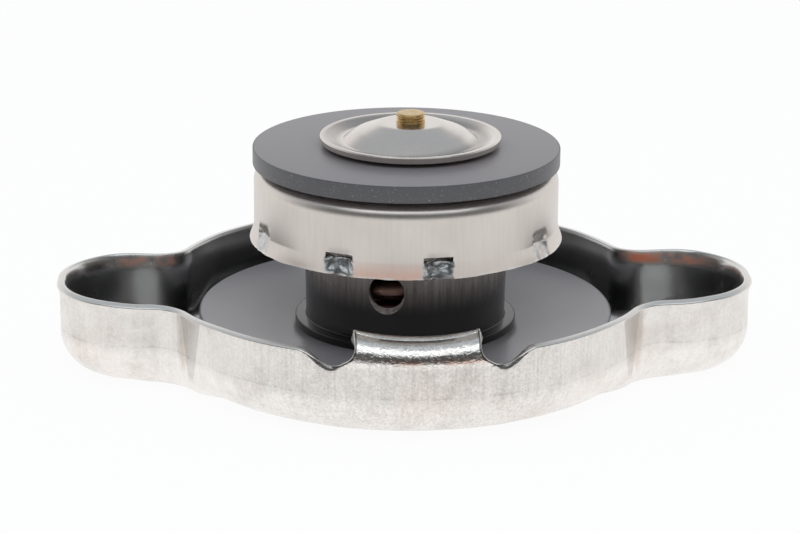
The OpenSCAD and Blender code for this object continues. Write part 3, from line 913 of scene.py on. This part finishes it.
def satin_plate(colours):
    """Barrel-plated steel: satin and warm, with hairlines, and copper showing low down at the front.

    Where the crimping tool struck it, the plating is torn to cool bright and dark flecks. Its lower edge has
    a thin bright burr, and painted shade darkens the groove round the vacuum plate's dome.
    """
    n = start_finish("satin_barrel_plate")
    x, _, z = n.axes()
    lines = n.noise(0.3, 3.0, n.upright(0.08))
    patches = n.noise(3.5, 5.0)
    torn = n.noise(0.8, 3.0, Roughness=0.6)
    low = n.ramp(z, 13.7 * MM, 12.3 * MM)
    front = n.ramp(n.away(x, -2 * MM), 6 * MM, 3.5 * MM, 0.08, 0.75)
    flash = n.product(low, front, n.ramp(patches, 0.3, 0.6, 0.4, 1.0))
    warm = n.mix(flash, colours.satin, colours.plate_copper)
    brushed = n.shade(warm, n.ramp(lines, 0.35, 0.6, 0.975, 1.01))
    cold = n.shade(colours.struck[:3], n.ramp(torn, 0.4, 0.6, 0.4, 1.2))
    struck = n.mark("struck")
    uneven = n.calc("MULTIPLY_ADD", torn, 1.4, struck)
    hit = n.product(struck, n.ramp(uneven, 1.15, 1.5, 0.0, 0.9))
    edge = n.ramp(z, cup_low.z + 0.3 * MM, cup_low.z + 0.15 * MM)
    burr = n.product(edge, n.ramp(torn, 0.4, 0.6))
    whole = n.mix(burr, n.mix(hit, brushed, cold), colours.cut_edge)
    # Painted shade in the groove at the dome's foot, about 6.9 mm from the axis.
    groove_shade = n.ramp(n.away(n.radius(), 6.9 * MM), 0.4 * MM, 1.0 * MM, 0.62, 1.0)
    polish = n.ramp(z, seal_low.z, seal_high.z, 0.26, 0.16)
    gloss = n.calc("MULTIPLY_ADD", patches, 0.16, polish)
    hairlines = n.bump(lines, n.ramp(z, seal_low.z, seal_high.z, 0.2, 0.0), 0.012 * MM)
    gouges = n.bump(torn, hit, 0.08 * MM, Normal=hairlines)
    return n.surface(n.shade(whole, groove_shade), gloss, Metallic=1.0, Normal=gouges)


def plain_metal(name, colour, low, high, grain):
    """Small bright metal part: one colour with a roughness that varies over a grain of some millimetres."""
    n = start_finish(name)
    clouds = n.noise(grain, 4.0)
    gloss = n.ramp(clouds, 0.3, 0.7, low, high)
    return n.surface(colour, gloss, Metallic=1.0, Normal=n.bump(clouds, 0.25, 0.02 * MM))


def white_floor(colour):
    """White paper sweep: it glows evenly to the eye, takes soft shadows and is clear from below."""
    n = Nodes(bpy.data.materials.new("white_floor"))
    path = n.add("ShaderNodeLightPath")
    seen = n.total(path["Is Camera Ray"], path["Is Glossy Ray"], path["Is Transmission Ray"])
    paint = n.add("ShaderNodeBsdfDiffuse", {"Color": colour})[0]
    glow = n.add("ShaderNodeEmission", {"Color": WHITE, "Strength": 1.0})[0]
    mixed = n.add("ShaderNodeMixShader", {0: n.product(seen, 0.93), 1: paint, 2: glow})[0]
    under = n.add("ShaderNodeNewGeometry")["Backfacing"]
    clear = n.add("ShaderNodeBsdfTransparent")[0]
    one_way = n.add("ShaderNodeMixShader", {0: under, 1: mixed, 2: clear})[0]
    n.add("ShaderNodeOutputMaterial", {"Surface": one_way})
    return n.owner


def studio():
    """Plain white room: even light, a pale wall behind that the metal mirrors, and a cooler ceiling."""
    world = bpy.data.worlds.new("studio")
    n = Nodes(world)
    path = n.add("ShaderNodeLightPath")
    n.place = n.add("ShaderNodeTexCoord")["Generated"]
    _, y, z = n.axes()
    back = n.ramp(y, -0.45, 0.1, 0.1, 0.55, "SMOOTHSTEP")
    low = n.ramp(z, 0.52, 0.42, kind="SMOOTHSTEP")
    behind = n.ramp(y, 0.0, 0.4, 0.0, 0.45, "SMOOTHSTEP")
    mirrored = n.total(back, n.product(low, behind))
    gloss = n.add("ShaderNodeMath", {0: path["Is Glossy Ray"], 1: path["Is Transmission Ray"]},
                  operation="ADD", use_clamp=True)[0]
    room = n.level(gloss, 0.62, mirrored)
    strength = n.level(path["Is Camera Ray"], room, 1.0)
    cool = n.mix(n.ramp(z, 0.45, 0.6), WHITE, COOL_WHITE)
    sky = n.add("ShaderNodeBackground", {"Color": cool, "Strength": strength})[0]
    n.add("ShaderNodeOutputWorld", {"Surface": sky})
    return world


class RADCAP_OT_shell(bpy.types.Operator):
    """Presses the shell: crown, wall, ears, notches and folded tabs from one sheet"""

    bl_idname = "radcap.shell"
    bl_label = "Pressed shell"

    def execute(self, context):
        s = context.scene.radcap_shell
        colours = context.scene.radcap_finishes
        plan = ShellPlan(s)
        piece = sleeve("pressed_shell", plan.rows())
        fold_tabs(piece, plan)
        mark_sheared(piece, plan)
        wander(piece, s.waviness, 6 * MM, lambda p: ease((p.z - s.crown_corner / 2) / s.crown_corner))
        for finish in (bright_plate, inner_plate, cut_edge):
            piece.data.materials.append(finish(colours))
        apply(piece, "SOLIDIFY", thickness=s.sheet, offset=-1, use_even_offset=True, use_rim=True,
              use_quality_normals=True, material_offset=1, material_offset_rim=2)
        apply(piece, "BEVEL", offset_type="PERCENT", width_pct=30, segments=3, limit_method="ANGLE",
              angle_limit=math.radians(55), use_clamp_overlap=False)
        clean(piece)
        settle(piece, "cap_shell", "bright_plate")
        return {"FINISHED"}


class RADCAP_OT_gasket(bpy.types.Operator):
    """Turns the dished top gasket and the retainer that clamps it"""

    bl_idname = "radcap.gasket"
    bl_label = "Gasket and retainer"

    def execute(self, context):
        s = context.scene.radcap_gasket
        colours = context.scene.radcap_finishes
        hole = RIVET_HOLE
        sweep = 3 * MM
        top = gasket_high.z
        bed = retainer_low.z
        gasket = turned("dished_gasket", [
            (hole, bed - s.thickness), (s.retainer_radius, bed - s.thickness, sweep),
            (s.radius, top - s.thickness, s.edge), (s.radius, top, s.edge),
            (s.retainer_radius, bed, sweep), (hole, bed)])
        settle(gasket, "top_gasket", "gasket_rubber", gasket_rubber(colours))
        retainer = turned("painted_retainer", [
            (hole, bed), (s.retainer_radius, bed, 0.1 * MM),
            (s.retainer_radius, bed + s.retainer_height, s.retainer_edge), (hole, bed + s.retainer_height)])
        settle(retainer, "gasket_retainer", "black_paint", black_paint(colours))
        return {"FINISHED"}


class RADCAP_OT_housing(bpy.types.Operator):
    """Turns the spring housing and cuts its vents"""

    bl_idname = "radcap.housing"
    bl_label = "Spring housing"

    def execute(self, context):
        s = context.scene.radcap_housing
        base = retainer_low.z + context.scene.radcap_gasket.retainer_height
        top = housing_high.z
        under = top - s.sheet
        upper = s.radius + s.taper
        floor = base + s.sheet
        piece = turned("painted_housing", [
            (RIVET_HOLE, base), (s.radius + s.foot, base, 0.05 * MM), (s.radius, base + 0.05 * MM, s.foot),
            (upper, under, 0.5 * MM), (housing_high.x, under, 0.1 * MM), (housing_high.x, top, 0.1 * MM),
            (upper - s.sheet, top, 0.9 * MM), (s.radius - s.sheet, floor, 0.5 * MM), (RIVET_HOLE, floor)])
        paint = bpy.data.materials["baked_black_paint"]
        piece.data.materials.append(paint)
        rubbed = rubbed_paint(context.scene.radcap_finishes)
        cutters = []
        deep = 0.7 * MM
        wide = s.vent_radius + 0.05 * MM
        for i in range(s.vents):
            turn = s.vent_angle + TAU * i / s.vents
            out = Vector((math.sin(turn), -math.cos(turn), 0))
            place = out * s.radius
            place.z = s.vent_height
            clear_selection()
            bpy.ops.mesh.primitive_cylinder_add(vertices=48, radius=s.vent_radius, depth=4 * MM,
                                                location=place, rotation=(math.pi / 2, 0, turn))
            cutters.append(bpy.context.object)
            bpy.context.object.data.materials.append(paint)
            place.z -= s.vent_break
            bpy.ops.mesh.primitive_cone_add(vertices=48, radius1=wide + deep, radius2=wide - deep,
                                            depth=2 * deep, location=place,
                                            rotation=(-math.pi / 2, 0, turn))
            cutters.append(bpy.context.object)
            bpy.context.object.data.materials.append(rubbed)
        for cutter in cutters:
            apply(piece, "BOOLEAN", operation="DIFFERENCE", object=cutter, solver="EXACT",
                  material_mode="TRANSFER")
        clear_selection()
        for cutter in cutters:
            cutter.select_set(True)
        bpy.ops.object.delete()
        clean(piece)
        settle(piece, "spring_housing", "black_paint")
        return {"FINISHED"}


class RADCAP_OT_springs(bpy.types.Operator):
    """Winds the pressure spring and the small vacuum spring"""

    bl_idname = "radcap.springs"
    bl_label = "Coil springs"

    def execute(self, context):
        s = context.scene.radcap_springs
        colours = context.scene.radcap_finishes
        main = coil("pressure_coil", coil_low.z, coil_high.z, s.radius, s.wire, s.turns, s.start, 72, 20)
        coppered = plain_metal("coppered_wire", colours.wire, 0.25, 0.45, 0.8)
        settle(main, "pressure_spring", "coppered_wire", coppered)
        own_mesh(main)
        small = coil("vacuum_coil", wire_low.z, wire_high.z, s.small_radius, s.small_wire, s.small_turns,
                     0, 48, 12)
        sprung = plain_metal("spring_wire", colours.steel, 0.2, 0.35, 0.6)
        settle(small, "vacuum_spring", "spring_steel", sprung)
        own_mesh(small)
        return {"FINISHED"}


class RADCAP_OT_cup(bpy.types.Operator):
    """Draws the valve cup from one sheet and strikes its tongues inwards"""

    bl_idname = "radcap.cup"
    bl_label = "Valve cup"

    # Turns of the tongues from the front in degrees, and the numbers of those that did not tear a slot.
    tongues = (-70, -28, 9, 57, 104.4, 151.8, 199.2, 246.6)
    closed = (0, 3)

    def execute(self, context):
        s = context.scene.radcap_cup
        colours = context.scene.radcap_finishes
        seat = cup_high.z
        step = seat - s.seat_drop
        roll = cup_low.z + s.roll
        wide = s.radius + s.flare
        grid = 0.16 * MM
        corners = [(s.hole, seat), (s.seat_radius, seat, 0.3 * MM),
                   (s.seat_radius + 0.45 * MM, step, 0.2 * MM), (s.radius, step, s.shoulder),
                   (s.radius, roll, 1.2 * MM), (wide, cup_low.z)]
        section = rounded(corners)
        fine = []
        for a, b in zip(section, section[1:]):
            pieces = max(1, round((b - a).length / grid)) if b.y < step - s.shoulder else 1
            fine += [a.lerp(b, k / pieces) for k in range(pieces)]
        fine.append(section[-1])
        piece = ring_of_points("drawn_cup", fine)
        ends = {0, len(fine) - 1}
        select_parts(piece, "EDGE", lambda edge: {v.index for v in edge.verts} == ends)
        bpy.ops.mesh.delete(type="EDGE_FACE")
        close_mesh()
        spin(piece, CUP_STEPS)
        tip = cup_low.z + s.tongue_height
        half = s.tongue_angle / 2
        fade = 1.2 * MM
        lump_depth = 0.14 * MM
        burr = 0.14 * MM
        burr_band = 0.8 * MM
        slot_share = 0.82

        def share(p):
            """How far across a tongue a point lies, as (turn from its middle, its number)."""
            turn = math.degrees(math.atan2(p.x, -p.y))
            offs = [((turn - t + 180) % 360 - 180, i) for i, t in enumerate(self.tongues)]
            return min(offs, key=lambda o: abs(o[0]))

        def in_slot(face):
            """True in the torn slot above a tongue."""
            p = face.calc_center_median()
            off, number = share(p)
            reach = slot_share + 0.12 * rag(p.z / (0.3 * MM), number, 0)
            rise = s.slot_height * (1 + 0.25 * rag(off * 0.6, number, 5))
            inside = tip < p.z < tip + rise and abs(math.radians(off)) < half * reach
            return inside and number not in self.closed and math.hypot(p.x, p.y) > s.seat_radius

        select_parts(piece, "FACE", in_slot)
        bpy.ops.mesh.delete(type="FACE")
        close_mesh()
        struck = piece.data.attributes.new("struck", "FLOAT", "POINT")
        for v in piece.data.vertices:
            out = Vector((v.co.x, v.co.y, 0))
            if out.length < s.seat_radius or v.co.z > tip + fade:
                continue
            off, number = share(v.co)
            across = abs(math.radians(off)) / half
            across += 0.14 * rag(v.co.z / (0.45 * MM), number * 3.1, off / abs(off or 1))
            lump = rag(off * 0.35 + number * 7.3, v.co.z / (0.5 * MM), number)
            sides = ease((0.88 - across) / 0.35)
            if v.co.z < tip + 0.01 * MM:
                up = (v.co.z - cup_low.z) / s.tongue_height
                depth = 0.5 if number in self.closed else 1.0
                push = depth * s.tongue_push * ease(up) * sides + lump_depth * (lump + 0.3) * sides
                struck.data[v.index].value = (0.4 + 0.6 * depth) * ease((1.05 - across) / 0.25)
            else:
                base = 0.5 * s.tongue_push if number in self.closed else 0.1 * MM
                push = base * sides * ease(1 - (v.co.z - tip) / fade)
            v.co -= out.normalized() * max(push, 0)
        for v in piece.data.vertices:
            low = ease((cup_low.z + burr_band - v.co.z) / burr_band)
            turn = math.atan2(v.co.x, -v.co.y)
            drop = max(0, (roll - v.co.z) / s.roll)
            if drop and math.hypot(v.co.x, v.co.y) > s.seat_radius:
                out = Vector((v.co.x, v.co.y, 0)).normalized()
                v.co += out * s.side_flare * drop**1.5 * ease((abs(math.sin(turn)) - 0.55) / 0.35)
            if low > 0:
                ragged = 0.5 + 0.5 * rag(math.cos(turn) * 9, math.sin(turn) * 9, 2.0)
                v.co.z += burr * low * ragged
        piece.data.update()
        piece.data.materials.append(satin_plate(colours))
        apply(piece, "SOLIDIFY", thickness=s.sheet, offset=-1, use_even_offset=True, use_rim=True,
              use_quality_normals=True)
        clean(piece)
        settle(piece, "valve_cup", "satin_plate")
        return {"FINISHED"}


class RADCAP_OT_seal(bpy.types.Operator):
    """Turns the pressure seal"""

    bl_idname = "radcap.seal"
    bl_label = "Pressure seal"

    def execute(self, context):
        s = context.scene.radcap_cup
        colours = context.scene.radcap_finishes
        edge = s.seal_edge
        out = seal_high.x
        piece = turned("pressure_disc", [
            (s.hole, seal_low.z), (out, seal_low.z, edge), (out, seal_high.z, edge), (s.hole, seal_high.z)])
        settle(piece, "pressure_seal", "seal_rubber", seal_rubber(colours))
        return {"FINISHED"}


class RADCAP_OT_vacuum(bpy.types.Operator):
    """Turns the domed vacuum plate and its brass stem"""

    bl_idname = "radcap.vacuum"
    bl_label = "Vacuum plate and stem"

    def execute(self, context):
        s = context.scene.radcap_vacuum
        colours = context.scene.radcap_finishes
        z = plate_low.z
        t = s.sheet
        top = plate_high.z
        rim = s.plate_radius
        dome = s.dome_radius
        half_way = (top + z + t) / 2
        bulge = s.dome_bulge
        plate = turned("domed_plate", [
            (s.stem_radius, top - t), (s.dome_flat - 0.1 * MM, top - t, 1.5 * MM),
            (bulge - 0.3 * MM, half_way - 0.45 * MM, 1.5 * MM), (dome - 0.3 * MM, z, 0.3 * MM),
            (rim - 1.1 * MM, z, 0.7 * MM), (rim - 0.14 * MM, z + 0.4 * MM, 0.1 * MM),
            (rim, z + t + 0.45 * MM, 0.12 * MM), (rim - 0.5 * MM, z + t + 0.42 * MM, 0.3 * MM),
            (dome + 0.4 * MM, z + t, 0.5 * MM), (dome, z + t, 0.1 * MM),
            (bulge, half_way, 2.2 * MM), (s.dome_flat, top, 1.8 * MM), (s.stem_radius, top)])
        satin = bpy.data.materials["satin_barrel_plate"]
        aside = Matrix.Translation((s.shift, 0, 0))
        plate.data.transform(aside)
        settle(plate, "vacuum_plate", "satin_plate", satin)
        r = s.stem_radius
        shaft = r - 0.05 * MM
        tip = stem_high.z
        groove = 0.14 * MM
        corners = [(0, stem_low.z), (shaft, stem_low.z, 0.15 * MM), (shaft, top - t - 0.5 * MM),
                   (r + 0.6 * MM, top - t - 0.4 * MM), (r + 0.6 * MM, top - t), (r, top - t)]
        for height in (0.36, 0.66):
            mid = top + (tip - top) * height
            corners += [(r, mid - 0.12 * MM, 0.03 * MM), (r - groove, mid - 0.05 * MM, 0.03 * MM),
                        (r - groove, mid + 0.05 * MM, 0.03 * MM), (r, mid + 0.12 * MM, 0.03 * MM)]
        corners += [(r, tip, 0.12 * MM), (0.5 * MM, tip), (0, tip - 0.05 * MM)]
        stem = turned("brass_stem", corners, 96)
        groove_lean = 0.05
        for v in stem.data.vertices:
            if top + 0.1 * MM < v.co.z < tip - 0.15 * MM:
                v.co.z += groove_lean * v.co.x
        stem.data.transform(aside)
        brass = plain_metal("drawn_brass", colours.brass, 0.18, 0.34, 0.5)
        settle(stem, "vacuum_stem", "stem_brass", brass)
        return {"FINISHED"}


class RADCAP_OT_hidden(bpy.types.Operator):
    """Gives the inner CAD parts that stay as they are their metal finishes"""

    bl_idname = "radcap.hidden"
    bl_label = "Inner parts"

    def execute(self, context):
        colours = context.scene.radcap_finishes
        zinc = plain_metal("zinc_plate", colours.zinc, 0.25, 0.4, 1.2)
        steel = plain_metal("spring_steel", colours.steel, 0.25, 0.4, 2.0)
        finishes = {"centre_rivet": zinc, "seal_retainer": zinc, "spring_clip": zinc, "leaf_spring": steel}
        for name, finish in finishes.items():
            part = frame["nodes"][name]
            part.data.materials.clear()
            part.data.materials.append(finish)
        return {"FINISHED"}


class RADCAP_OT_stage(bpy.types.Operator):
    """Sets the floor, the studio light and the camera"""

    bl_idname = "radcap.stage"
    bl_label = "Stage"

    def execute(self, context):
        s = context.scene.radcap_stage
        scene = context.scene
        clear_selection()
        bpy.ops.mesh.primitive_plane_add(size=6.0, location=(0, 0, cad_box[0].z - 0.02 * MM))
        floor = context.object
        floor.name = "floor"
        floor.data.materials.append(white_floor(s.floor))
        scene.world = studio()

        middle = Vector((0, 0, 10 * MM))
        distance = 0.42
        way = Vector((0, -math.cos(s.key_rise), math.sin(s.key_rise)))
        lamp = bpy.data.lights.new("softbox", "AREA")
        lamp.shape = "RECTANGLE"
        lamp.size = 0.6
        lamp.size_y = 0.26
        lamp.color = (0.95, 1.0, 1.02)
        lamp.energy = s.key_power
        softbox = bpy.data.objects.new("softbox", lamp)
        softbox.location = middle + way * distance
        softbox.rotation_mode = "QUATERNION"
        softbox.rotation_quaternion = (middle - softbox.location).to_track_quat("-Z", "Y")
        scene.collection.objects.link(softbox)

        eye = bpy.data.cameras.new("photo_camera")
        eye.sensor_fit = "HORIZONTAL"
        eye.sensor_width = SENSOR
        eye.lens = s.focal_length * SENSOR
        eye.clip_start = 10 * MM
        eye.clip_end = 20
        camera = bpy.data.objects.new("photo_camera", eye)
        place = Vector(s.camera_place)
        camera.location = place
        camera.rotation_mode = "QUATERNION"
        aim = (Vector(s.camera_target) - place).to_track_quat("-Z", "Y")
        camera.rotation_quaternion = aim @ Quaternion((0, 0, 1), s.camera_roll)
        scene.collection.objects.link(camera)
        scene.camera = camera
        scene.view_settings.view_transform = "Standard"
        return {"FINISHED"}


PIECES = (RADCAP_OT_shell, RADCAP_OT_gasket, RADCAP_OT_housing, RADCAP_OT_springs, RADCAP_OT_cup,
          RADCAP_OT_seal, RADCAP_OT_vacuum, RADCAP_OT_hidden, RADCAP_OT_stage)
GROUPS = {"radcap_shell": ShellSizes, "radcap_gasket": GasketSizes, "radcap_housing": HousingSizes,
          "radcap_cup": CupSizes, "radcap_springs": SpringSizes, "radcap_vacuum": VacuumSizes,
          "radcap_finishes": Finishes, "radcap_stage": StageSettings}


class RADCAP_PT_panel(bpy.types.Panel):
    """Sizes, finishes and steps of the radiator cap"""

    bl_idname = "RADCAP_PT_panel"
    bl_label = "Radiator cap"
    bl_space_type = "VIEW_3D"
    bl_region_type = "UI"
    bl_category = "Radiator cap"

    def draw(self, context):
        for step in PIECES:
            self.layout.operator(step.bl_idname)
        for key, group in GROUPS.items():
            box = self.layout.box()
            for name in group.__annotations__:
                box.prop(getattr(context.scene, key), name)


def register():
    """Registers the groups, the operators and the panel."""
    for group in GROUPS.values():
        bpy.utils.register_class(group)
    for key, group in GROUPS.items():
        setattr(bpy.types.Scene, key, PointerProperty(type=group))
    for step in PIECES:
        bpy.utils.register_class(step)
    bpy.utils.register_class(RADCAP_PT_panel)


def unregister():
    """Takes away what register made."""
    bpy.utils.unregister_class(RADCAP_PT_panel)
    for step in reversed(PIECES):
        bpy.utils.unregister_class(step)
    for key in GROUPS:
        delattr(bpy.types.Scene, key)
    for group in reversed(GROUPS.values()):
        bpy.utils.unregister_class(group)


def main():
    """Builds every piece in order."""
    register()
    bpy.ops.radcap.shell()
    bpy.ops.radcap.gasket()
    bpy.ops.radcap.housing()
    bpy.ops.radcap.springs()
    bpy.ops.radcap.cup()
    bpy.ops.radcap.seal()
    bpy.ops.radcap.vacuum()
    bpy.ops.radcap.hidden()
    bpy.ops.radcap.stage()
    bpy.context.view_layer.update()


if __name__ == "__main__":
    main()
